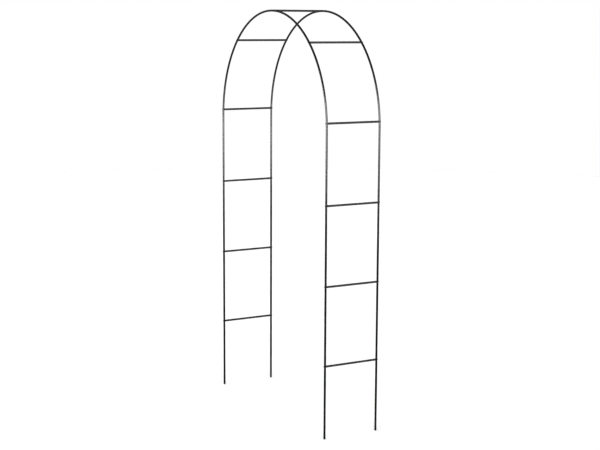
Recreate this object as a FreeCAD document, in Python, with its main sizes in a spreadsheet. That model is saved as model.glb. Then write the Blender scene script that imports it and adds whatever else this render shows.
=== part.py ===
"""Garden trellis arch: two parallel round-top hoops of thin steel tube, joined by screwed rungs.

The origin is on the ground, under the middle of the arch. +Z is up, X runs across the passage
and Y runs along it. Each hoop is six tubes that plug together, and the screws of the rungs
lock the plug joints.
"""
import FreeCAD, Part
import os
import Sketcher
from FreeCAD import Placement, Rotation, Vector

OUTPUT_FOLDER = "parts"

# Driving dimensions in millimetres and degrees: alias, value, meaning.
DIMENSIONS = [
    ("outside_width", 1400, "over the two legs of a hoop"),
    ("outside_depth", 380, "over the two hoops"),
    ("overall_height", 2590, "ground end of the legs to the top of the crown"),
    ("tube_outside", 12, "outside diameter of the uprights and of the rungs"),
    ("tube_wall", 0.8, "wall of every tube"),
    ("rung_one_height", 455, "lowest rung"),
    ("rung_two_height", 945, "second rung, on the lower leg joint"),
    ("rung_three_height", 1435, "third rung"),
    ("rung_four_height", 1925, "fourth rung, on the upper leg joint"),
    ("rung_five_angle", 46.5, "fifth rung, measured round the arch from its springing"),
    ("lower_seam_drop", 35, "seam of the lower leg joint below its rung"),
    ("crown_seam_angle", 3.3, "seam of the crown joint to the left of the crown"),
    ("spigot_length", 65, "drawn-down end, past the shoulder"),
    ("spigot_angle", 5.4, "the same length of drawn-down end on the bend of the arch"),
    ("spigot_clearance", 0.1, "radial gap between a spigot and its socket"),
    ("shoulder_web", 1.6, "length of full-size tube between the wide bore and the seam"),
    ("shoulder_web_angle", 0.13, "the same length on the bend of the arch"),
    ("screw_hole", 4.5, "clearance hole through the uprights"),
    ("saddle_gap", 0.05, "radial gap between a rung end and its upright"),
    ("insert_fit", 0.02, "radial gap of a pressed piece in its tube, drawn without the bite"),
    ("insert_setback", 7.5, "outer face of an insert from the middle plane of its hoop"),
    ("insert_length", 16, "threaded insert in each rung end"),
    ("insert_bore", 4, "threaded bore, drawn plain"),
    ("insert_chamfer", 0.5, "lead-in at both ends of an insert"),
    ("screw_shank", 3.9, "shank, drawn plain"),
    ("screw_length", 25, "shank under the head"),
    ("head_diameter", 7.6, "low pan head"),
    ("head_height", 2.2, "low pan head"),
    ("head_rounding", 1.4, "crown of the head"),
    ("recess_width", 1.1, "one bar of the cross recess"),
    ("recess_span", 4, "tip to tip of the cross recess"),
    ("recess_depth", 1.3, "cross recess"),
    ("tip_chamfer", 0.6, "end of the shank"),
    ("plug_head", 4, "solid end of a foot plug, below the tube"),
    ("plug_rounding", 1.5, "lower edge of a foot plug"),
    ("plug_stem", 14, "length of a foot plug inside the tube"),
    ("plug_chamfer", 1, "lead-in at the top of the stem"),
]

# Lengths that follow from the driving dimensions, as expressions of the sheet.
TUBE_BORE = "(dims.tube_outside - 2 * dims.tube_wall)"
HOOP_RADIUS = "((dims.outside_width - dims.tube_outside) / 2)"
HOOP_OFFSET = "((dims.outside_depth - dims.tube_outside) / 2)"
SPRING_HEIGHT = f"(dims.overall_height - dims.tube_outside / 2 - {HOOP_RADIUS})"
LOWER_SEAM = "(dims.rung_two_height - dims.lower_seam_drop)"
SPIGOT_OUTSIDE = f"({TUBE_BORE} - 2 * dims.spigot_clearance)"
SPIGOT_BORE = f"({SPIGOT_OUTSIDE} - 2 * dims.tube_wall)"
PRESSED_DIAMETER = f"({TUBE_BORE} - 2 * dims.insert_fit)"
RUNG_FOUR_RISE = f"(dims.rung_four_height - {SPRING_HEIGHT})"
RUNG_FOUR_ANGLE = f"asin({RUNG_FOUR_RISE} / {HOOP_RADIUS})"
CROWN_ANGLE = "90"

RUNG_HEIGHTS = ["dims.rung_one_height", "dims.rung_two_height", "dims.rung_three_height"]
RUNG_ANGLES = [RUNG_FOUR_ANGLE, "dims.rung_five_angle"]

# Side of the arch: sign of X, and the turn that carries a piece made for the right side there.
SIDES = {"left": (-1, 180), "right": (1, 0)}
# Hoop: sign of Y.
HOOPS = {"front": -1, "rear": 1}


def make_sheet(doc):
    """Writes the driving dimensions, one row each, under their aliases."""
    sheet = doc.addObject("Spreadsheet::Sheet", "dims")
    for row, (alias, value, meaning) in enumerate(DIMENSIONS, start=1):
        sheet.set(f"A{row}", alias)
        sheet.set(f"B{row}", str(value))
        sheet.set(f"C{row}", meaning)
        sheet.setAlias(f"B{row}", alias)
    doc.recompute()
    return sheet


# ---------------------------------------------------------------- sketches and features

def make_body(doc, name):
    body = doc.addObject("PartDesign::Body", name)
    body.Label = name
    return body


def plane_sketch(body, name, role, height="0"):
    """A sketch on one of the body's own origin planes, lifted by height along its normal."""
    plane = next(feature for feature in body.Origin.OriginFeatures if feature.Role == role)
    sketch = body.newObject("Sketcher::SketchObject", name)
    sketch.AttachmentSupport = [(plane, "")]
    sketch.MapMode = "FlatFace"
    sketch.setExpression("AttachmentOffset.Base.z", height)
    return sketch


def add_circle(sketch, diameter, across="0", up="0"):
    """A circle with its diameter and its centre bound to expressions."""
    index = sketch.addGeometry(Part.Circle(Vector(1, 1, 0), Vector(0, 0, 1), 1), False)
    bound = [
        (Sketcher.Constraint("Diameter", index, 2), diameter),
        (Sketcher.Constraint("DistanceX", -1, 1, index, 3, 1), across),
        (Sketcher.Constraint("DistanceY", -1, 1, index, 3, 1), up),
    ]
    for constraint, expression in bound:
        number = sketch.addConstraint(constraint)
        sketch.setExpression(f"Constraints[{number}]", expression)


def add_rectangle(sketch, width, height):
    """A rectangle centred on the sketch's origin."""
    corners = [Vector(-1, -1, 0), Vector(1, -1, 0), Vector(1, 1, 0), Vector(-1, 1, 0)]
    for index, corner in enumerate(corners):
        sketch.addGeometry(Part.LineSegment(corner, corners[(index + 1) % 4]), False)
    for index in range(4):
        sketch.addConstraint(Sketcher.Constraint("Coincident", index, 2, (index + 1) % 4, 1))
    for index in (0, 2):
        sketch.addConstraint(Sketcher.Constraint("Horizontal", index))
    for index in (1, 3):
        sketch.addConstraint(Sketcher.Constraint("Vertical", index))
    sketch.addConstraint(Sketcher.Constraint("Symmetric", 0, 1, 1, 2, -1, 1))
    wide = sketch.addConstraint(Sketcher.Constraint("DistanceX", 0, 1, 0, 2, 2))
    high = sketch.addConstraint(Sketcher.Constraint("DistanceY", 1, 1, 1, 2, 2))
    sketch.setExpression(f"Constraints[{wide}]", width)
    sketch.setExpression(f"Constraints[{high}]", height)


def add_rod(body, name, diameter, bottom, top, across="0"):
    """A round bar standing on the XY plane direction, between two heights."""
    sketch = plane_sketch(body, f"{name}_sketch", "XY_Plane", bottom)
    add_circle(sketch, diameter, across)
    pad = body.newObject("PartDesign::Pad", name)
    pad.Profile = sketch
    pad.setExpression("Length", f"{top} - {bottom}")
    return pad


def cut_bore(body, name, diameter, bottom, top, across="0"):
    """A round bore along Z, cut downwards from its top."""
    sketch = plane_sketch(body, f"{name}_sketch", "XY_Plane", top)
    add_circle(sketch, diameter, across)
    pocket = body.newObject("PartDesign::Pocket", name)
    pocket.Profile = sketch
    pocket.setExpression("Length", f"{top} - {bottom}")


def bend_section(body, name, kind, diameter, angle):
    """A circle at the springing of the arch, swung up about the hoop's centre."""
    sketch = plane_sketch(body, f"{name}_sketch", "XY_Plane")
    add_circle(sketch, diameter, HOOP_RADIUS)
    feature = body.newObject(f"PartDesign::{kind}", name)
    feature.Profile = sketch
    feature.ReferenceAxis = (sketch, ["V_Axis"])
    feature.Reversed = True
    feature.setExpression("Angle", angle)


def cut_screw_hole(body, name, across, up):
    """A clearance hole along Y, through both walls of a tube."""
    sketch = plane_sketch(body, f"{name}_sketch", "XZ_Plane")
    add_circle(sketch, "dims.screw_hole", across, up)
    pocket = body.newObject("PartDesign::Pocket", name)
    pocket.Profile = sketch
    pocket.Type = "ThroughAll"
    pocket.SideType = "Symmetric"


def round_edge_names(feature, diameter, height):
    """The circular edges of that diameter at that height along Z."""
    names = []
    for number, edge in enumerate(feature.Shape.Edges, start=1):
        is_circle = edge.Curve.TypeId == "Part::GeomCircle"
        if not is_circle or abs(2 * edge.Curve.Radius - diameter) > 0.001:
            continue
        if abs(edge.Curve.Center.z - height) < 0.001:
            names.append(f"Edge{number}")
    return names


def dress_edge(body, name, kind, feature, diameter, height, size):
    """A fillet or chamfer on a circular edge, its size bound to an expression."""
    body.Document.recompute()
    dressing = body.newObject(f"PartDesign::{kind}", name)
    dressing.Base = (feature, round_edge_names(feature, diameter, height))
    dressing.setExpression("Radius" if kind == "Fillet" else "Size", size)
    return dressing


def place(item, across="0", along="0", up="0", turn=Rotation(), angle=None):
    """Gives a sub-part its place, with the coordinates bound to the sheet."""
    item.Placement = Placement(Vector(), turn)
    item.setExpression("Placement.Base.x", across)
    item.setExpression("Placement.Base.y", along)
    item.setExpression("Placement.Base.z", up)
    if angle is not None:
        item.setExpression("Placement.Rotation.Angle", angle)


# ---------------------------------------------------------------- pieces

def on_arch(angle):
    """Where an angle round the arch lies, from the hoop's centre: across and up."""
    return f"{HOOP_RADIUS} * cos({angle})", f"{HOOP_RADIUS} * sin({angle})"


def make_lower_leg(doc, name):
    """Straight tube from the foot plug to the lower seam, with a straight spigot above it.

    It is drawn with its foot at the origin.
    """
    body = make_body(doc, name)
    web_bottom = f"{LOWER_SEAM} - dims.shoulder_web"
    spigot_top = f"{LOWER_SEAM} + dims.spigot_length"
    add_rod(body, f"{name}_tube", "dims.tube_outside", "dims.plug_head", LOWER_SEAM)
    add_rod(body, f"{name}_spigot", SPIGOT_OUTSIDE, LOWER_SEAM, spigot_top)
    cut_bore(body, f"{name}_bore", TUBE_BORE, "dims.plug_head", web_bottom)
    cut_bore(body, f"{name}_spigot_bore", SPIGOT_BORE, web_bottom, spigot_top)
    cut_screw_hole(body, f"{name}_hole_1", "0", "dims.rung_one_height")
    cut_screw_hole(body, f"{name}_hole_2", "0", "dims.rung_two_height")
    return body


def make_upper_leg(doc, name):
    """Straight tube from the lower seam to the springing, with a spigot that follows the arch.

    It is drawn on the right side, with the hoop's centre at the origin.
    """
    body = make_body(doc, name)
    socket_end = f"({LOWER_SEAM} - {SPRING_HEIGHT})"
    add_rod(body, f"{name}_tube", "dims.tube_outside", socket_end, "0", HOOP_RADIUS)
    bend_section(body, f"{name}_spigot", "Revolution", SPIGOT_OUTSIDE, "dims.spigot_angle")
    cut_bore(body, f"{name}_bore", TUBE_BORE, socket_end, "-dims.shoulder_web", HOOP_RADIUS)
    cut_bore(body, f"{name}_web_bore", SPIGOT_BORE, "-dims.shoulder_web", "0", HOOP_RADIUS)
    bend_section(body, f"{name}_spigot_bore", "Groove", SPIGOT_BORE, "dims.spigot_angle")
    for number, height in ((2, "dims.rung_two_height"), (3, "dims.rung_three_height")):
        cut_screw_hole(body, f"{name}_hole_{number}", HOOP_RADIUS, f"{height} - {SPRING_HEIGHT}")
    cut_screw_hole(body, f"{name}_hole_4", *on_arch(RUNG_FOUR_ANGLE))
    return body


def make_arch_quarter(doc, name, has_spigot):
    """Bent tube from the springing to the crown seam, drawn about the hoop's centre.

    The left one ends short of the crown in a spigot, and the right one reaches past the crown
    as its socket.
    """
    body = make_body(doc, name)
    if has_spigot:
        seam = f"({CROWN_ANGLE} - dims.crown_seam_angle)"
        spigot_end = f"{seam} + dims.spigot_angle"
        bend_section(body, f"{name}_tube", "Revolution", "dims.tube_outside", seam)
        bend_section(body, f"{name}_spigot", "Revolution", SPIGOT_OUTSIDE, spigot_end)
        bend_section(body, f"{name}_spigot_bore", "Groove", SPIGOT_BORE, spigot_end)
        bore_end = f"{seam} - dims.shoulder_web_angle"
    else:
        bore_end = f"({CROWN_ANGLE} + dims.crown_seam_angle)"
        bend_section(body, f"{name}_tube", "Revolution", "dims.tube_outside", bore_end)
    bend_section(body, f"{name}_bore", "Groove", TUBE_BORE, bore_end)
    for number, angle in enumerate(RUNG_ANGLES + [CROWN_ANGLE], start=4):
        cut_screw_hole(body, f"{name}_hole_{number}", *on_arch(angle))
    return body


def make_rung(doc, name):
    """Straight tube along Y, saddle-cut at both ends to sit on uprights that run along Z."""
    body = make_body(doc, name)
    for kind, part, diameter in (("Pad", "tube", "dims.tube_outside"), ("Pocket", "bore", TUBE_BORE)):
        sketch = plane_sketch(body, f"{name}_{part}_sketch", "XZ_Plane")
        add_circle(sketch, diameter)
        feature = body.newObject(f"PartDesign::{kind}", f"{name}_{part}")
        feature.Profile = sketch
        feature.SideType = "Symmetric"
        feature.setExpression("Length", f"2 * {HOOP_OFFSET}")
    sketch = plane_sketch(body, f"{name}_saddle_sketch", "XY_Plane")
    for sign in HOOPS.values():
        add_circle(sketch, "dims.tube_outside + 2 * dims.saddle_gap", "0", f"{sign} * {HOOP_OFFSET}")
    saddle = body.newObject("PartDesign::Pocket", f"{name}_saddles")
    saddle.Profile = sketch
    saddle.Type = "ThroughAll"
    saddle.SideType = "Symmetric"
    return body


def make_foot_plug(doc, name):
    """Push-in end plug of a leg: a rounded end as wide as the tube, and a stem inside it."""
    body = make_body(doc, name)
    head = add_rod(body, f"{name}_head", "dims.tube_outside", "0", "dims.plug_head")
    tube_outside = doc.dims.tube_outside
    dress_edge(body, f"{name}_rounding", "Fillet", head, tube_outside, 0, "dims.plug_rounding")
    stem_top = "dims.plug_head + dims.plug_stem"
    stem = add_rod(body, f"{name}_stem", PRESSED_DIAMETER, "dims.plug_head", stem_top)
    stem_diameter = doc.dims.evalExpression(PRESSED_DIAMETER)
    stem_height = doc.dims.evalExpression(stem_top)
    dress_edge(body, f"{name}_lead", "Chamfer", stem, stem_diameter, stem_height, "dims.plug_chamfer")
    return body


def make_insert_pattern(doc):
    """One threaded insert: its outer face at the origin, its body down along -Z."""
    body = make_body(doc, "insert_pattern")
    bottom = "-dims.insert_length"
    rod = add_rod(body, "insert_rod", PRESSED_DIAMETER, bottom, "0")
    diameter = doc.dims.evalExpression(PRESSED_DIAMETER)
    lead = dress_edge(body, "insert_lead", "Chamfer", rod, diameter, 0, "dims.insert_chamfer")
    low = -doc.dims.insert_length
    dress_edge(body, "insert_tail", "Chamfer", lead, diameter, low, "dims.insert_chamfer")
    cut_bore(body, "insert_thread", "dims.insert_bore", bottom, "0")
    return body


def make_screw_pattern(doc):
    """One screw: the underside of its head at the origin, its shank down along -Z."""
    body = make_body(doc, "screw_pattern")
    head = add_rod(body, "screw_head", "dims.head_diameter", "0", "dims.head_height")
    dress_edge(body, "screw_crown", "Fillet", head, doc.dims.head_diameter, doc.dims.head_height,
               "dims.head_rounding")
    shank = add_rod(body, "screw_shank", "dims.screw_shank", "-dims.screw_length", "0")
    dress_edge(body, "screw_tip", "Chamfer", shank, doc.dims.screw_shank, -doc.dims.screw_length,
               "dims.tip_chamfer")
    bars = [("dims.recess_width", "dims.recess_span"), ("dims.recess_span", "dims.recess_width")]
    for number, (width, height) in enumerate(bars, start=1):
        sketch = plane_sketch(body, f"recess_sketch_{number}", "XY_Plane", "dims.head_height")
        add_rectangle(sketch, width, height)
        recess = body.newObject("PartDesign::Pocket", f"recess_{number}")
        recess.Profile = sketch
        recess.setExpression("Length", "dims.recess_depth")
    return body


def make_group(doc, name, pattern, places):
    """Copies of one fastener, joined as a group of separate solids."""
    copies = []
    for number, (across, along, up, turn) in enumerate(places, start=1):
        copy = doc.addObject("App::Link", f"{name}_{number}")
        copy.LinkedObject = pattern
        place(copy, across, along, up, turn)
        copies.append(copy)
    group = doc.addObject("Part::Compound", name)
    group.Label = name
    group.Links = copies
    return group


# ---------------------------------------------------------------- assembly

def rung_stations():
    """Every rung: name, across, up, sign of its lean and the angle of its upright there."""
    stations = []
    for side, (sign, _) in SIDES.items():
        for number, height in enumerate(RUNG_HEIGHTS, start=1):
            stations.append((f"{side}_rung_{number}", f"{sign} * {HOOP_RADIUS}", height, sign, "0"))
        for number, angle in enumerate(RUNG_ANGLES, start=4):
            across, rise = on_arch(angle)
            up = f"{SPRING_HEIGHT} + {rise}"
            stations.append((f"{side}_rung_{number}", f"{sign} * {across}", up, sign, angle))
    crown = f"{SPRING_HEIGHT} + {HOOP_RADIUS}"
    stations.append(("crown_rung", "0", crown, 1, CROWN_ANGLE))
    return stations


def make_hoop(doc, hoop, hoop_sign):
    """The six tubes and two foot plugs of one hoop."""
    pieces = []
    along = f"{hoop_sign} * {HOOP_OFFSET}"
    for side, (sign, turn) in SIDES.items():
        facing = Rotation(Vector(0, 0, 1), turn)
        leg_across = f"{sign} * {HOOP_RADIUS}"
        plug = make_foot_plug(doc, f"{hoop}_{side}_foot_plug")
        place(plug, leg_across, along)
        lower = make_lower_leg(doc, f"{hoop}_{side}_lower_leg")
        place(lower, leg_across, along)
        upper = make_upper_leg(doc, f"{hoop}_{side}_upper_leg")
        place(upper, "0", along, SPRING_HEIGHT, facing)
        quarter = make_arch_quarter(doc, f"{hoop}_{side}_arch_quarter", side == "left")
        place(quarter, "0", along, SPRING_HEIGHT, facing)
        pieces += [plug, lower, upper, quarter]
    return pieces


def make_rungs(doc):
    rungs = []
    for name, across, up, lean, angle in rung_stations():
        rung = make_rung(doc, name)
        place(rung, across, "0", up, Rotation(Vector(0, -lean, 0), 1), angle)
        rungs.append(rung)
    return rungs


def make_fasteners(doc):
    """The inserts and screws of each hoop, at both ends of every rung."""
    insert = make_insert_pattern(doc)
    screw = make_screw_pattern(doc)
    outward = {
        "front": Rotation(Vector(1, 0, 0), 90),
        "rear": Rotation(Vector(1, 0, 0), -90),
    }
    groups = []
    for hoop, sign in HOOPS.items():
        insert_along = f"{sign} * ({HOOP_OFFSET} - dims.insert_setback)"
        screw_along = f"{sign} * dims.outside_depth / 2"
        stations = rung_stations()
        insert_places = [(across, insert_along, up, outward[hoop]) for _, across, up, _, _ in stations]
        screw_places = [(across, screw_along, up, outward[hoop]) for _, across, up, _, _ in stations]
        groups.append(make_group(doc, f"{hoop}_rung_inserts", insert, insert_places))
        groups.append(make_group(doc, f"{hoop}_rung_screws", screw, screw_places))
    return groups


# ---------------------------------------------------------------- checks and output

def check_document(doc, pieces):
    """Stops on a failed feature, a cut that removes nothing, or a bad shape."""
    for item in doc.Objects:
        if "Invalid" in item.State or "Error" in item.State:
            raise RuntimeError(f"{item.Name} failed: {item.State}")
        if item.TypeId in ("PartDesign::Pocket", "PartDesign::Groove"):
            if item.Shape.Volume > item.BaseFeature.Shape.Volume - 0.01:
                raise RuntimeError(f"{item.Name} cuts nothing")
    for piece in pieces:
        shape = piece.Shape
        if shape.isNull() or not shape.isValid() or not shape.Solids:
            raise RuntimeError(f"{piece.Label} has no valid solid")


def write_parts(pieces):
    os.makedirs(OUTPUT_FOLDER, exist_ok=True)
    for piece in pieces:
        piece.Shape.exportStep(f"{OUTPUT_FOLDER}/{piece.Label}.step")


def main():
    doc = FreeCAD.newDocument("trellis_arch")
    make_sheet(doc)
    pieces = []
    for hoop, sign in HOOPS.items():
        pieces += make_hoop(doc, hoop, sign)
    pieces += make_rungs(doc)
    pieces += make_fasteners(doc)
    doc.recompute()
    check_document(doc, pieces)
    write_parts(pieces)
    for piece in pieces:
        box = piece.Shape.BoundBox
        print(f"{piece.Label}: {len(piece.Shape.Solids)} solid(s), {piece.Shape.Volume:.1f} mm3, "
              f"z {box.ZMin:.2f} to {box.ZMax:.2f}")


main()
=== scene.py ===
"""Looks of the garden trellis arch: fine tubes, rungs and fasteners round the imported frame.

Everything is in metres, in the row's frame: X across the passage, Y along it, +Z up.
"""
import math

import bmesh
import bpy
from mathutils import Matrix, Quaternion, Vector


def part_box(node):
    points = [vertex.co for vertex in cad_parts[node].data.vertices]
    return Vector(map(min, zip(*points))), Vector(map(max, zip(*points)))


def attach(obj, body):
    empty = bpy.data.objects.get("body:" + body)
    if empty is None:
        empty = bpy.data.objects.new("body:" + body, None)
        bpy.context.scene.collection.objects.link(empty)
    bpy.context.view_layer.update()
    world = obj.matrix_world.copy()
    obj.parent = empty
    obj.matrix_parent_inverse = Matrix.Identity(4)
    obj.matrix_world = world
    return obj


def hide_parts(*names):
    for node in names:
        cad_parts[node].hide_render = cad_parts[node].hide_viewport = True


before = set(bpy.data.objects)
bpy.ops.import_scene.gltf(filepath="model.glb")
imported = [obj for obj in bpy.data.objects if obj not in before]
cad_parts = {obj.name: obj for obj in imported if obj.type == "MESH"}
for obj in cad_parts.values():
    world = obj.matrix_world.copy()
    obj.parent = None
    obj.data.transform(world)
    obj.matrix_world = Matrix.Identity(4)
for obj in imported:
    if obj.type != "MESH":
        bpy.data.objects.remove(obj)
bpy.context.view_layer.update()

MM = 0.001
BODY = "root"
SIDES = {"left": -1, "right": 1}
HOOPS = {"front": -1, "rear": 1}

# ---------------------------------------------------------------- sizes read from the frame


def box_size(node):
    """How long a node's box is along each axis."""
    low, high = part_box(node)
    return high - low


def box_centre(node):
    """The middle of a node's box."""
    low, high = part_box(node)
    return (low + high) / 2


TUBE_RADIUS = box_size("crown_rung").x / 2
HOOP_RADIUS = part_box("front_right_upper_leg")[1].x - TUBE_RADIUS
HOOP_OFFSET = box_centre("rear_right_upper_leg").y
SPRING_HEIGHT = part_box("front_right_arch_quarter")[0].z
LOWER_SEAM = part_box("front_right_upper_leg")[0].z
LOWER_SPIGOT_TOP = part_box("front_right_lower_leg")[1].z
TUBE_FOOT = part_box("front_right_lower_leg")[0].z
OUTSIDE_FACE = HOOP_OFFSET + TUBE_RADIUS
INSERT_OUTER_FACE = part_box("rear_rung_inserts")[1].y
INSERT_INNER_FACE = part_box("rear_rung_inserts")[0].y
HEAD_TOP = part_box("rear_rung_screws")[1].y
SCREW_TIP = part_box("rear_rung_screws")[0].y

# ---------------------------------------------------------------- sizes the frame doesn't give

TUBE_WALL = 0.8 * MM
SPIGOT_CLEARANCE = 0.1 * MM
SHOULDER_WEB = 1.6 * MM
SCREW_HOLE_RADIUS = 2.25 * MM
SADDLE_GAP = 0.05 * MM
CROWN_SEAM_ANGLE = math.radians(3.3)
LIP_ROUNDING = 0.3 * MM
SPIGOT_ROUNDING = 0.35 * MM
SADDLE_LIP = 0.2 * MM

HEAD_RADIUS = 3.8 * MM
HEAD_EDGE = 0.15 * MM
HEAD_ROUNDING = 1.5 * MM
SHANK_RADIUS = 1.95 * MM
SHANK_TIP = 0.6 * MM
SHANK_NECK = 2.2 * MM
RECESS_DEPTH = 1.35 * MM
RECESS_HALF_WIDTH = 0.52 * MM
RECESS_HALF_SPAN = 2.0 * MM
RECESS_TAPER = 0.72

THREAD_PITCH = 0.7 * MM
THREAD_DEPTH = 0.38 * MM
# One thread ridge: shares of the pitch along the axis, and shares of the depth.
THREAD_FORM = ((0.1, 0), (0.45, 1), (0.6, 1), (0.95, 0))

INSERT_THREAD_RADIUS = 2.0 * MM
INSERT_FIT = 0.02 * MM
INSERT_LEAD = 0.5 * MM
GROOVE_DEPTH = 0.35 * MM
GROOVE_FLANK = 0.4 * MM
GROOVE_PLACES = (0.35, 0.6)

BORE_RADIUS = TUBE_RADIUS - TUBE_WALL
SPIGOT_RADIUS = BORE_RADIUS - SPIGOT_CLEARANCE
SPIGOT_BORE_RADIUS = SPIGOT_RADIUS - TUBE_WALL
SPIGOT_LENGTH = LOWER_SPIGOT_TOP - LOWER_SEAM

# ---------------------------------------------------------------- how fine the meshes are

TUBE_SEGMENTS = 48
SMALL_SEGMENTS = 32
FLOOR_SEGMENTS = 96
STRAIGHT_STEP = 30 * MM
BEND_STEP = 12 * MM
HOLE_MARGIN = 3.2 * MM
MARK_DIGITS = 7
SHARP_ANGLE = math.radians(32)

# ---------------------------------------------------------------- finishes

# A pair is the two ends of an uneven colour or roughness, and a scale says how fine its noise is.
COAT_BLACKS = ((0.0095, 0.0095, 0.0100), (0.0155, 0.0155, 0.0160))
COAT_ROUGHNESS = (0.18, 0.26)
COAT_DUST = (0.045, 0.044, 0.042)
COAT_SCUFF = (0.040, 0.040, 0.041)
SCUFF_DULLING = 0.15
GRAZING_DULLING = 0.65
DRIFT_SCALE = 9
SCUFF_SCALE = 38
GLOSS_SCALE = 60
DUST_SCALE = 1100
PEEL_SCALE = 420
PEEL_DEPTH = 0.08 * MM
GRAIN_SCALE = 2400
GRAIN_DEPTH = 0.015 * MM
PLASTIC_BLACKS = ((0.006, 0.006, 0.006), (0.011, 0.011, 0.011))
PLASTIC_ROUGHNESS = (0.5, 0.62)
BLACK_ZINC_SHADES = ((0.035, 0.035, 0.037), (0.06, 0.06, 0.064))
BLACK_ZINC_ROUGHNESS = (0.28, 0.42)
BRIGHT_ZINC_SHADES = ((0.55, 0.56, 0.58), (0.68, 0.69, 0.70))
BRIGHT_ZINC_ROUGHNESS = (0.25, 0.4)
FLOOR_SHADES = ((0.86, 0.86, 0.86), (0.88, 0.88, 0.88))

# ---------------------------------------------------------------- camera and light

CAMERA_AZIMUTH = math.radians(60.70)
CAMERA_ELEVATION = math.radians(8.894)
CAMERA_ROLL = math.radians(0.27)
CAMERA_DISTANCE = 8.373
CAMERA_TARGET = Vector((0.0493, 0, 1.2198))
CAMERA_LENS_MM = 77.85
SENSOR_WIDTH_MM = 36

FLOOR_RADIUS = 14
OVERHEAD_STRENGTH = 2.35
OVERHEAD_SPREAD = math.radians(60)
OVERHEAD_TILT = (math.radians(10), math.radians(8), 0)
# Height of a direction, from -1 straight down to 1 straight up, and the room's brightness there.
ROOM_LEVELS = ((-1, 1.0), (-0.5, 1.0), (-0.32, 0.3), (-0.15, 0.2), (-0.03, 0.3),
               (0.1, 1.5), (0.25, 1.2), (0.5, 0.5), (0.8, 0.3), (1, 0.2))
SOFTBOX_SIZE = (4.2, 2.5)
SOFTBOX_HEIGHT = 2.35
SOFTBOX_DISTANCE = 4.5
# Degrees round from the camera, and watts.
SOFTBOXES = {"softbox_left": (-58, 382), "softbox_middle": (0, 382), "softbox_right": (58, 208)}
CARD_PLACE = Vector((0.5, -0.22, 1.5))
CARD_SIZE = (1.35, 0.45)
CARD_WATTS = 15
DISPLAY_GAMMA = 0.72


def new_piece(name, mesh):
    """A visible piece that rides on the frame and takes its finish from a slot."""
    piece = bpy.data.objects.new(name, mesh)
    bpy.context.scene.collection.objects.link(piece)
    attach(piece, BODY)
    return piece


def smooth_by_angle(mesh):
    """Shades round surfaces smooth and keeps the edges sharp."""
    mesh.shade_smooth()
    mesh.set_sharp_from_angle(angle=SHARP_ANGLE)


def finish_mesh(bm, name):
    """Turns a bmesh into a mesh with outward normals and smooth round surfaces."""
    bmesh.ops.recalc_face_normals(bm, faces=bm.faces)
    mesh = bpy.data.meshes.new(name)
    bm.to_mesh(mesh)
    bm.free()
    smooth_by_angle(mesh)
    return mesh


def plain_object(name, data):
    """An object in the scene that isn't a piece of the part: a cutter, a pattern or the studio."""
    thing = bpy.data.objects.new(name, data)
    bpy.context.scene.collection.objects.link(thing)
    return thing


def bridge(bm, rings, closed):
    """Quads between rings that follow each other, and from the last to the first if closed."""
    count = len(rings)
    last = count if closed else count - 1
    for index in range(last):
        lower, upper = rings[index], rings[(index + 1) % count]
        size = len(lower)
        for step in range(size):
            after = (step + 1) % size
            bm.faces.new((lower[step], lower[after], upper[after], upper[step]))


def even_marks(low, high, step):
    """Evenly spaced marks from low to high, about a step apart."""
    count = max(1, round((high - low) / step))
    return [low + (high - low) * index / count for index in range(count + 1)]


def cut_with(piece, cutter):
    """Takes the cutter's solid out of a piece for good, and removes the cutter."""
    cut = piece.modifiers.new("cut", "BOOLEAN")
    cut.operation = "DIFFERENCE"
    cut.solver = "EXACT"
    cut.object = cutter
    bpy.context.view_layer.update()
    result = bpy.data.meshes.new_from_object(piece.evaluated_get(bpy.context.evaluated_depsgraph_get()))
    piece.modifiers.clear()
    bm = bmesh.new()
    bm.from_mesh(result)
    many_sided = [face for face in bm.faces if len(face.verts) > 4]
    bmesh.ops.triangulate(bm, faces=many_sided, ngon_method="BEAUTY")
    bm.to_mesh(result)
    bm.free()
    result.name = piece.data.name
    piece.data = result
    smooth_by_angle(result)
    bpy.data.objects.remove(cutter)


# ---------------------------------------------------------------- rung stations

def rung_stations():
    """Every rung's node and centre, and the direction outward from the arch there."""
    stations = []
    for node in sorted(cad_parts):
        if "_rung_" in node and node[-1].isdigit() or node == "crown_rung":
            centre = box_centre(node)
            rise = centre.z - SPRING_HEIGHT
            outward = Vector((centre.x, 0, max(rise, 0))).normalized()
            stations.append((node, centre, outward))
    return stations


def reach_at_angle(angle):
    """How far up a hoop a point of its bend is, at an angle above the springing."""
    return SPRING_HEIGHT + HOOP_RADIUS * angle


def station_reach(centre, outward):
    """How far up a hoop a rung station is, measured along its centreline from the ground."""
    angle = math.atan2(outward.z, abs(outward.x))
    return reach_at_angle(angle) if angle > 0 else centre.z


STATIONS = rung_stations()
# Both sides are alike, so the right side and the crown give every reach.
STATION_REACHES = [station_reach(centre, outward) for _, centre, outward in STATIONS if centre.x > -MM]


# ---------------------------------------------------------------- hoop tubes

def hoop_frame(side, offset, reach):
    """Centre of a hoop tube and its outward direction, at a length measured up from the ground."""
    if reach <= SPRING_HEIGHT:
        return Vector((side * HOOP_RADIUS, offset, reach)), Vector((side, 0, 0))
    angle = (reach - SPRING_HEIGHT) / HOOP_RADIUS
    outward = Vector((side * math.cos(angle), 0, math.sin(angle)))
    return Vector((0, offset, SPRING_HEIGHT)) + HOOP_RADIUS * outward, outward


def corner(reach, radius, into_reach, into_radius, size, from_end):
    """A rounded edge of a tube end. The two signs say on which side of it the metal lies."""
    points = []
    for degrees in (0, 30, 60, 90):
        turn = math.radians(degrees)
        along = reach + into_reach * size * (1 - math.sin(turn))
        across = radius + into_radius * size * (1 - math.cos(turn))
        points.append((along, across))
    return points[::-1] if from_end else points


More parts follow.
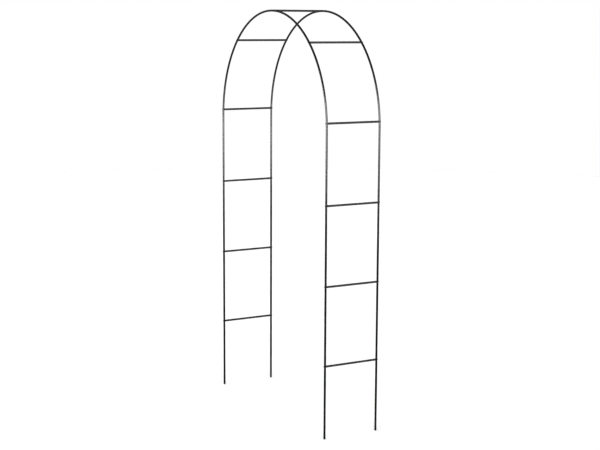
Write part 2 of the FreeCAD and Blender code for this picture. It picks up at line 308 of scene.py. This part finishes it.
def stretch(start, end, radius):
    """Rings between two lengths along the hoop, closer together on the bend than on the leg.

    A ring stands just below and just above each screw hole. The lengths are rounded far below
    any size that shows, so that two equal ones count once.
    """
    low, high = min(start, end), max(start, end)
    marks = [low, high]
    if low < SPRING_HEIGHT:
        marks += even_marks(low, min(high, SPRING_HEIGHT), STRAIGHT_STEP)
    if high > SPRING_HEIGHT:
        marks += even_marks(max(low, SPRING_HEIGHT), high, BEND_STEP)
    for reach in STATION_REACHES:
        marks += [mark for mark in (reach - HOLE_MARGIN, reach + HOLE_MARGIN) if low < mark < high]
    marks = sorted(set(round(mark, MARK_DIGITS) for mark in marks))
    if start > end:
        marks.reverse()
    return [(mark, radius) for mark in marks]


def hoop_tube_profile(foot, seam, spigot_top):
    """The section of a hoop tube along its length: (length, radius) points round the wall.

    A tube with no spigot is a plain tube that ends at its seam.
    """
    lip = LIP_ROUNDING
    past_lip = 3 * lip
    points = corner(foot, TUBE_RADIUS, 1, -1, lip, from_end=True)
    points += stretch(foot + past_lip, seam - past_lip, TUBE_RADIUS)
    points += corner(seam, TUBE_RADIUS, -1, -1, lip, from_end=False)
    if spigot_top is None:
        points += stretch(seam, foot, BORE_RADIUS)
        return points
    nose = SPIGOT_ROUNDING
    past_nose = 3 * nose
    points += stretch(seam, spigot_top - past_nose, SPIGOT_RADIUS)
    points += corner(spigot_top, SPIGOT_RADIUS, -1, -1, nose, from_end=False)
    points += stretch(spigot_top, seam - SHOULDER_WEB, SPIGOT_BORE_RADIUS)
    points += stretch(seam - SHOULDER_WEB, foot, BORE_RADIUS)
    return points


def hoop_tube_mesh(name, side, offset, profile):
    """Turns a section about the bent centreline of the hoop."""
    bm = bmesh.new()
    rings = []
    for reach, radius in profile:
        centre, outward = hoop_frame(side, offset, reach)
        ring = []
        for step in range(TUBE_SEGMENTS):
            turn = 2 * math.pi * step / TUBE_SEGMENTS
            spoke = math.cos(turn) * outward + math.sin(turn) * Vector((0, 1, 0))
            ring.append(bm.verts.new(centre + radius * spoke))
        rings.append(ring)
    bridge(bm, rings, closed=True)
    return finish_mesh(bm, name)


def drill(piece, places):
    """Cuts the screw holes, which run along Y through both walls."""
    bm = bmesh.new()
    for place in places:
        turn = Matrix.Translation(place) @ Matrix.Rotation(math.pi / 2, 4, "X")
        bmesh.ops.create_cone(bm, cap_ends=True, segments=SMALL_SEGMENTS, radius1=SCREW_HOLE_RADIUS,
                              radius2=SCREW_HOLE_RADIUS, depth=4 * TUBE_RADIUS, matrix=turn)
    cut_with(piece, plain_object("cutter", finish_mesh(bm, "cutter")))


def hole_places(side, offset, start, end):
    """The rung stations whose screws go through a tube that runs between two lengths."""
    places = []
    for _, centre, outward in STATIONS:
        on_side = centre.x * side > -TUBE_RADIUS
        if on_side and start < station_reach(centre, outward) < end:
            places.append(Vector((centre.x, offset, centre.z)))
    return places


def make_hoop_tubes():
    """Both hoops: lower legs, upper legs and arch quarters, drilled where the rungs go.

    The crown seam is a little to the left of the crown, and the left quarter has the spigot there.
    """
    pieces = []
    crown_reach = reach_at_angle(math.pi / 2)
    crown_seam = HOOP_RADIUS * CROWN_SEAM_ANGLE
    left_seam = crown_reach - crown_seam
    upper_spigot_top = SPRING_HEIGHT + SPIGOT_LENGTH
    for hoop, facing in HOOPS.items():
        offset = facing * HOOP_OFFSET
        for side, sign in SIDES.items():
            quarter = (SPRING_HEIGHT, left_seam, left_seam + SPIGOT_LENGTH)
            if side == "right":
                quarter = (SPRING_HEIGHT, crown_reach + crown_seam, None)
            kinds = {
                "lower_leg": (TUBE_FOOT, LOWER_SEAM, LOWER_SPIGOT_TOP),
                "upper_leg": (LOWER_SEAM, SPRING_HEIGHT, upper_spigot_top),
                "arch_quarter": quarter,
            }
            for kind, (foot, seam, spigot_top) in kinds.items():
                node = f"{hoop}_{side}_{kind}"
                mesh = hoop_tube_mesh(node, sign, offset, hoop_tube_profile(foot, seam, spigot_top))
                piece = new_piece(f"{node}_tube", mesh)
                drill(piece, hole_places(sign, offset, foot, spigot_top or seam))
                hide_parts(node)
                pieces.append(piece)
    return pieces


# ---------------------------------------------------------------- rungs

def saddle_depth(across):
    """How far from a rung's middle its saddle-cut end is, this far to the side of its axis."""
    return HOOP_OFFSET - math.sqrt((TUBE_RADIUS + SADDLE_GAP) ** 2 - across ** 2)


def rung_ring(bm, centre, outward, radius, depth_at):
    """A ring of a rung. depth_at says how far along Y a point is from the rung's middle."""
    upward = outward.cross(Vector((0, 1, 0)))
    verts = []
    for step in range(TUBE_SEGMENTS):
        turn = 2 * math.pi * step / TUBE_SEGMENTS
        across = radius * math.cos(turn)
        spot = centre + across * outward + radius * math.sin(turn) * upward
        verts.append(bm.verts.new(spot + Vector((0, depth_at(across), 0))))
    return verts


def make_rung(node, centre, outward):
    """A straight tube with saddle-cut ends. Its section leans with the upright it meets."""
    bm = bmesh.new()

    def end_ring(radius, sign, pull_back=0):
        return rung_ring(bm, centre, outward, radius,
                         lambda across: sign * (saddle_depth(across) - pull_back))

    def straight_ring(radius, mark):
        return rung_ring(bm, centre, outward, radius, lambda across: mark)

    lip = SADDLE_LIP
    body = HOOP_OFFSET - 2 * TUBE_RADIUS
    marks = even_marks(-body, body, STRAIGHT_STEP)
    rings = [end_ring(BORE_RADIUS, -1), end_ring(TUBE_RADIUS - lip, -1), end_ring(TUBE_RADIUS, -1, lip)]
    rings += [straight_ring(TUBE_RADIUS, mark) for mark in marks]
    rings += [end_ring(TUBE_RADIUS, 1, lip), end_ring(TUBE_RADIUS - lip, 1), end_ring(BORE_RADIUS, 1)]
    rings += [straight_ring(BORE_RADIUS, mark) for mark in reversed(marks)]
    bridge(bm, rings, closed=True)
    piece = new_piece(f"{node}_tube", finish_mesh(bm, node))
    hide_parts(node)
    return piece


# ---------------------------------------------------------------- turned fasteners

def turned_bmesh(profile):
    """A solid of revolution about Z. Points are (radius, height); a radius of 0 is a pole."""
    bm = bmesh.new()
    rings = []
    turns = [2 * math.pi * step / SMALL_SEGMENTS for step in range(SMALL_SEGMENTS)]
    for radius, height in profile:
        if radius == 0:
            rings.append([bm.verts.new((0, 0, height))])
            continue
        rings.append([bm.verts.new((radius * math.cos(t), radius * math.sin(t), height)) for t in turns])
    pairs = list(zip(rings, rings[1:]))
    hollow = profile[0][0] > 0
    if hollow:
        pairs.append((rings[-1], rings[0]))
    for lower, upper in pairs:
        for step in range(SMALL_SEGMENTS):
            after = (step + 1) % SMALL_SEGMENTS
            corners = [lower[step % len(lower)], lower[after % len(lower)],
                       upper[after % len(upper)], upper[step % len(upper)]]
            bm.faces.new(list(dict.fromkeys(corners)))
    return bm


def thread_points(radius, depth, start, end):
    """Ring-shaped thread ridges on a shank or in a bore, from one height to another."""
    direction = 1 if end > start else -1
    count = int(abs(end - start) / THREAD_PITCH)
    points = []
    for index in range(count):
        foot = start + direction * index * THREAD_PITCH
        for along, inward in THREAD_FORM:
            points.append((radius - inward * depth, foot + direction * along * THREAD_PITCH))
    return points


def cross_cutter(top):
    """The tapered cross of a driver tip, standing over the head."""
    above, flare = 0.5 * MM, 1.15
    bm = bmesh.new()
    rings = []
    for height, scale in ((top - RECESS_DEPTH, RECESS_TAPER), (top + above, flare)):
        w, s = RECESS_HALF_WIDTH * scale, RECESS_HALF_SPAN * scale
        outline = [(w, w), (w, s), (-w, s), (-w, w), (-s, w), (-s, -w),
                   (-w, -w), (-w, -s), (w, -s), (w, -w), (s, -w), (s, w)]
        rings.append([bm.verts.new((x, y, height)) for x, y in outline])
    bridge(bm, rings, closed=False)
    for ring in rings:
        bm.faces.new(ring)
    return plain_object("cross_cutter", finish_mesh(bm, "cross_cutter"))


def screw_mesh():
    """A low pan head with a cross recess on a threaded shank: head up, its underside at 0."""
    head_height = HEAD_TOP - OUTSIDE_FACE
    length = OUTSIDE_FACE - SCREW_TIP
    thread_start = -length + 1.2 * SHANK_TIP
    profile = [(0, -length), (SHANK_RADIUS - SHANK_TIP, -length), (SHANK_RADIUS, -length + SHANK_TIP)]
    profile += thread_points(SHANK_RADIUS, THREAD_DEPTH, thread_start, -SHANK_NECK)
    profile += [(SHANK_RADIUS, 0), (HEAD_RADIUS - HEAD_EDGE, 0), (HEAD_RADIUS, HEAD_EDGE)]
    for degrees in range(0, 91, 15):
        turn = math.radians(degrees)
        radius = HEAD_RADIUS - HEAD_ROUNDING * (1 - math.cos(turn))
        profile.append((radius, head_height - HEAD_ROUNDING * (1 - math.sin(turn))))
    profile.append((0, head_height))
    piece = plain_object("screw_pattern", finish_mesh(turned_bmesh(profile), "screw_pattern"))
    cut_with(piece, cross_cutter(head_height))
    mesh = piece.data
    bpy.data.objects.remove(piece)
    return mesh


def insert_mesh():
    """A pressed threaded insert with two grip grooves: outer face at 0, body down along -Z."""
    length = INSERT_OUTER_FACE - INSERT_INNER_FACE
    outside = BORE_RADIUS - INSERT_FIT
    mouth = INSERT_THREAD_RADIUS + THREAD_DEPTH
    lead = INSERT_LEAD
    profile = [(outside - lead, 0), (outside, -lead)]
    for share in GROOVE_PLACES:
        middle = -share * length
        for flanks, inset in ((2, 0), (1, GROOVE_DEPTH), (-1, GROOVE_DEPTH), (-2, 0)):
            profile.append((outside - inset, middle + flanks * GROOVE_FLANK))
    profile += [(outside, -length + lead), (outside - lead, -length), (mouth, -length)]
    profile += thread_points(INSERT_THREAD_RADIUS, -THREAD_DEPTH, -length + lead, -lead)
    profile.append((mouth, 0))
    return finish_mesh(turned_bmesh(profile), "insert_pattern")


def make_group(name, node, pattern, facing, depth):
    """One piece that holds a copy of a fastener at every rung station of a hoop."""
    bm = bmesh.new()
    outward_turn = Matrix.Rotation(-facing * math.pi / 2, 4, "X")
    for _, centre, _ in STATIONS:
        copy = pattern.copy()
        copy.transform(Matrix.Translation((centre.x, facing * depth, centre.z)) @ outward_turn)
        bm.from_mesh(copy)
        bpy.data.meshes.remove(copy)
    piece = new_piece(name, finish_mesh(bm, name))
    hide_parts(node)
    return piece


# ---------------------------------------------------------------- materials

def new_material(name):
    """A node material, with its tree and its shader."""
    material = bpy.data.materials.new(name)
    material.use_nodes = True
    tree = material.node_tree
    return material, tree, tree.nodes["Principled BSDF"]


def noise(tree, scale, detail, roughness=0.5):
    """Noise in the row's own metres."""
    place = tree.nodes.new("ShaderNodeTexCoord")
    texture = tree.nodes.new("ShaderNodeTexNoise")
    texture.inputs["Scale"].default_value = scale
    texture.inputs["Detail"].default_value = detail
    texture.inputs["Roughness"].default_value = roughness
    tree.links.new(place.outputs["Object"], texture.inputs["Vector"])
    return texture.outputs["Fac"]


def mapped(tree, value, low, high, to_low, to_high):
    """A value range mapped to another one."""
    node = tree.nodes.new("ShaderNodeMapRange")
    node.inputs["From Min"].default_value = low
    node.inputs["From Max"].default_value = high
    node.inputs["To Min"].default_value = to_low
    node.inputs["To Max"].default_value = to_high
    tree.links.new(value, node.inputs["Value"])
    return node.outputs["Result"]


def uneven(tree, scale, detail, low, high):
    """Noise that wanders between two values."""
    return mapped(tree, noise(tree, scale, detail), 0.3, 0.7, low, high)


def blend_colours(tree, value, first, second):
    """Mixes two colours. Each is a plain (r, g, b) or the output of another node."""
    node = tree.nodes.new("ShaderNodeMix")
    node.data_type = "RGBA"
    sockets = {socket.identifier: socket for socket in node.inputs}
    for colour, socket in ((first, sockets["A_Color"]), (second, sockets["B_Color"])):
        if isinstance(colour, tuple):
            socket.default_value = (*colour, 1)
        else:
            tree.links.new(colour, socket)
    tree.links.new(value, sockets["Factor_Float"])
    return next(socket for socket in node.outputs if socket.identifier == "Result_Color")


def bump(tree, shader, heights):
    """Stacks bumps: (height, strength, depth in metres)."""
    normal = None
    for height, strength, depth in heights:
        node = tree.nodes.new("ShaderNodeBump")
        node.inputs["Strength"].default_value = strength
        node.inputs["Distance"].default_value = depth
        tree.links.new(height, node.inputs["Height"])
        if normal is not None:
            tree.links.new(normal, node.inputs["Normal"])
        normal = node.outputs["Normal"]
    tree.links.new(normal, shader.inputs["Normal"])


def multiply(tree, first, second):
    """The product of two node outputs."""
    node = tree.nodes.new("ShaderNodeMath")
    node.operation = "MULTIPLY"
    tree.links.new(first, node.inputs[0])
    tree.links.new(second, node.inputs[1])
    return node.outputs["Value"]


def add_scaled(tree, base, extra, factor):
    """One node output, plus another one times a plain factor."""
    node = tree.nodes.new("ShaderNodeMath")
    node.operation = "MULTIPLY_ADD"
    node.inputs[1].default_value = factor
    tree.links.new(extra, node.inputs[0])
    tree.links.new(base, node.inputs[2])
    return node.outputs["Value"]


def hairlines(tree, scale):
    """Sparse hairline scuffs: a few thin wandering lines, 1 on a line and 0 elsewhere."""
    place = tree.nodes.new("ShaderNodeTexCoord")
    cells = tree.nodes.new("ShaderNodeTexVoronoi")
    cells.feature = "DISTANCE_TO_EDGE"
    cells.inputs["Scale"].default_value = scale
    tree.links.new(place.outputs["Object"], cells.inputs["Vector"])
    line_width, patch_scale = 0.012, 0.35 * scale
    line = mapped(tree, cells.outputs["Distance"], 0, line_width, 1, 0)
    patch = mapped(tree, noise(tree, patch_scale, 3), 0.55, 0.62, 0, 1)
    return multiply(tree, line, patch)


def powder_coat():
    """Black polyester powder coat: orange peel, uneven gloss, a little dust and light scuffs.

    Its fine texture breaks up mirror images at grazing angles, so the gloss is rougher there.
    """
    material, tree, shader = new_material("black_powder_coat")
    drift = mapped(tree, noise(tree, DRIFT_SCALE, 4), 0.35, 0.65, 0, 1)
    black = blend_colours(tree, drift, *COAT_BLACKS)
    dust = mapped(tree, noise(tree, DUST_SCALE, 4), 0.58, 0.72, 0, 0.5)
    dusty = blend_colours(tree, dust, black, COAT_DUST)
    scuff = hairlines(tree, SCUFF_SCALE)
    tree.links.new(blend_colours(tree, scuff, dusty, COAT_SCUFF), shader.inputs["Base Color"])
    facing = tree.nodes.new("ShaderNodeLayerWeight")
    facing.inputs["Blend"].default_value = 0.5
    grazing = mapped(tree, facing.outputs["Facing"], 0.5, 0.85, 0, 1)
    scuffed = add_scaled(tree, uneven(tree, GLOSS_SCALE, 5, *COAT_ROUGHNESS), scuff, SCUFF_DULLING)
    roughness = add_scaled(tree, scuffed, grazing, GRAZING_DULLING)
    tree.links.new(roughness, shader.inputs["Roughness"])
    peel = noise(tree, PEEL_SCALE, 2, 0.4)
    grain = noise(tree, GRAIN_SCALE, 2)
    bump(tree, shader, [(peel, 0.6, PEEL_DEPTH), (grain, 0.3, GRAIN_DEPTH)])
    return material


def mottled_finish(name, metallic, colours, colour_noise, roughness, gloss_noise, grain):
    """A plain finish whose colour and gloss wander a little, with a fine grain.

    The two noises are (scale, detail), and the grain is (scale, strength, depth).
    """
    material, tree, shader = new_material(name)
    colour = blend_colours(tree, uneven(tree, *colour_noise, 0, 1), *colours)
    tree.links.new(colour, shader.inputs["Base Color"])
    shader.inputs["Metallic"].default_value = metallic
    tree.links.new(uneven(tree, *gloss_noise, *roughness), shader.inputs["Roughness"])
    scale, strength, depth = grain
    bump(tree, shader, [(noise(tree, scale, 2), strength, depth)])
    return material


def plug_plastic():
    """Black moulded polyethylene: matt, with a fine spark-eroded grain."""
    return mottled_finish(
        "black_plug_plastic", metallic=0,
        colours=PLASTIC_BLACKS, colour_noise=(300, 3),
        roughness=PLASTIC_ROUGHNESS, gloss_noise=(180, 3),
        grain=(1800, 0.5, 0.03 * MM))


def black_zinc():
    """Black zinc plating of the screws: dark metal with a faint bloom."""
    return mottled_finish(
        "black_zinc", metallic=0.85,
        colours=BLACK_ZINC_SHADES, colour_noise=(700, 4),
        roughness=BLACK_ZINC_ROUGHNESS, gloss_noise=(1500, 3),
        grain=(3000, 0.3, 0.01 * MM))


def bright_zinc():
    """Bright zinc plating of the inserts."""
    return mottled_finish(
        "bright_zinc", metallic=1,
        colours=BRIGHT_ZINC_SHADES, colour_noise=(500, 4),
        roughness=BRIGHT_ZINC_ROUGHNESS, gloss_noise=(900, 3),
        grain=(2600, 0.3, 0.01 * MM))


def floor_paint():
    """Pale matt studio floor."""
    material, tree, shader = new_material("studio_floor")
    colour = blend_colours(tree, uneven(tree, 1.5, 3, 0, 1), *FLOOR_SHADES)
    tree.links.new(colour, shader.inputs["Base Color"])
    shader.inputs["Roughness"].default_value = 0.9
    shader.inputs["Specular IOR Level"].default_value = 0.1
    return material


# ---------------------------------------------------------------- studio

def make_floor():
    """A round pale floor that the tubes don't mirror."""
    bm = bmesh.new()
    bmesh.ops.create_circle(bm, cap_ends=True, segments=FLOOR_SEGMENTS, radius=FLOOR_RADIUS)
    floor = plain_object("floor", finish_mesh(bm, "floor"))
    floor.data.materials.append(floor_paint())
    floor.visible_glossy = False


def make_world():
    """A white backdrop for the camera, and a room of light and dark bands for the tubes to mirror."""
    world = bpy.data.worlds.new("studio")
    world.use_nodes = True
    tree = world.node_tree
    tree.nodes.clear()
    place = tree.nodes.new("ShaderNodeTexCoord")
    split = tree.nodes.new("ShaderNodeSeparateXYZ")
    tree.links.new(place.outputs["Generated"], split.inputs["Vector"])
    ramp = tree.nodes.new("ShaderNodeValToRGB")
    elements = ramp.color_ramp.elements
    for element, (height, level) in zip(elements, (ROOM_LEVELS[0], ROOM_LEVELS[-1])):
        element.position = (height + 1) / 2
        element.color = (level, level, level, 1)
    for height, level in ROOM_LEVELS[1:-1]:
        elements.new((height + 1) / 2).color = (level, level, level, 1)
    tree.links.new(mapped(tree, split.outputs["Z"], -1, 1, 0, 1), ramp.inputs["Fac"])
    room = tree.nodes.new("ShaderNodeBackground")
    tree.links.new(ramp.outputs["Color"], room.inputs["Color"])
    backdrop = tree.nodes.new("ShaderNodeBackground")
    backdrop.inputs["Color"].default_value = (1, 1, 1, 1)
    rays = tree.nodes.new("ShaderNodeLightPath")
    mix = tree.nodes.new("ShaderNodeMixShader")
    output = tree.nodes.new("ShaderNodeOutputWorld")
    tree.links.new(rays.outputs["Is Camera Ray"], mix.inputs["Fac"])
    tree.links.new(room.outputs["Background"], mix.inputs[1])
    tree.links.new(backdrop.outputs["Background"], mix.inputs[2])
    tree.links.new(mix.outputs["Shader"], output.inputs["Surface"])
    bpy.context.scene.world = world


def make_overhead():
    """The broad overhead light that keeps the floor pale."""
    sun = bpy.data.lights.new("overhead", "SUN")
    sun.energy = OVERHEAD_STRENGTH
    sun.angle = OVERHEAD_SPREAD
    lamp = plain_object("overhead", sun)
    lamp.rotation_euler = OVERHEAD_TILT
    lamp.visible_glossy = False


def glossy_panel(name, size, watts, place, behind):
    """A rectangular light that is seen only in reflections. Its back is turned towards behind."""
    panel = bpy.data.lights.new(name, "AREA")
    panel.shape = "RECTANGLE"
    panel.size, panel.size_y = size
    panel.energy = watts
    lamp = plain_object(name, panel)
    lamp.location = place
    lamp.rotation_mode = "QUATERNION"
    lamp.rotation_quaternion = behind.to_track_quat("Z", "Y")
    lamp.visible_camera = False
    lamp.visible_diffuse = False


def make_softboxes():
    """An arc of softboxes round the camera's side, level with the shoulders of the arch."""
    for name, (swing, watts) in SOFTBOXES.items():
        azimuth = CAMERA_AZIMUTH + math.radians(swing)
        toward = Vector((math.sin(azimuth), -math.cos(azimuth), 0))
        place = SOFTBOX_DISTANCE * toward + Vector((0, 0, SOFTBOX_HEIGHT))
        glossy_panel(name, SOFTBOX_SIZE, watts, place, toward)


def make_card():
    """A bright card inside the passage that lights up the left haunches from below."""
    glossy_panel("card", CARD_SIZE, CARD_WATTS, CARD_PLACE, Vector((1, 0, 0)))


def make_camera():
    """The camera, back from its target along the viewing angle."""
    back = Vector((
        math.sin(CAMERA_AZIMUTH) * math.cos(CAMERA_ELEVATION),
        -math.cos(CAMERA_AZIMUTH) * math.cos(CAMERA_ELEVATION),
        math.sin(CAMERA_ELEVATION),
    ))
    data = bpy.data.cameras.new("camera")
    data.sensor_width = SENSOR_WIDTH_MM
    data.lens = CAMERA_LENS_MM
    camera = plain_object("camera", data)
    camera.location = CAMERA_TARGET + CAMERA_DISTANCE * back
    camera.rotation_mode = "QUATERNION"
    camera.rotation_quaternion = back.to_track_quat("Z", "Y") @ Quaternion((0, 0, 1), CAMERA_ROLL)
    bpy.context.scene.camera = camera


# ---------------------------------------------------------------- everything together

def paint(pieces, material):
    """Puts a material in every slot of some objects."""
    for piece in pieces:
        if not piece.material_slots:
            piece.data.materials.append(material)
        for slot in piece.material_slots:
            slot.material = material


def main():
    make_camera()
    hoop_tubes = make_hoop_tubes()
    rungs = [make_rung(*station) for station in STATIONS]
    paint(hoop_tubes + rungs, powder_coat())

    screw = screw_mesh()
    insert = insert_mesh()
    screws, inserts = [], []
    for hoop, facing in HOOPS.items():
        screws.append(make_group(f"{hoop}_screws", f"{hoop}_rung_screws", screw,
                                 facing, OUTSIDE_FACE))
        inserts.append(make_group(f"{hoop}_inserts", f"{hoop}_rung_inserts", insert,
                                  facing, INSERT_OUTER_FACE))
    paint(screws, black_zinc())
    paint(inserts, bright_zinc())
    paint([node for name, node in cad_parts.items() if "foot_plug" in name], plug_plastic())

    make_floor()
    make_world()
    make_overhead()
    make_softboxes()
    make_card()
    view = bpy.context.scene.view_settings
    view.view_transform = "Standard"
    view.gamma = DISPLAY_GAMMA


main()
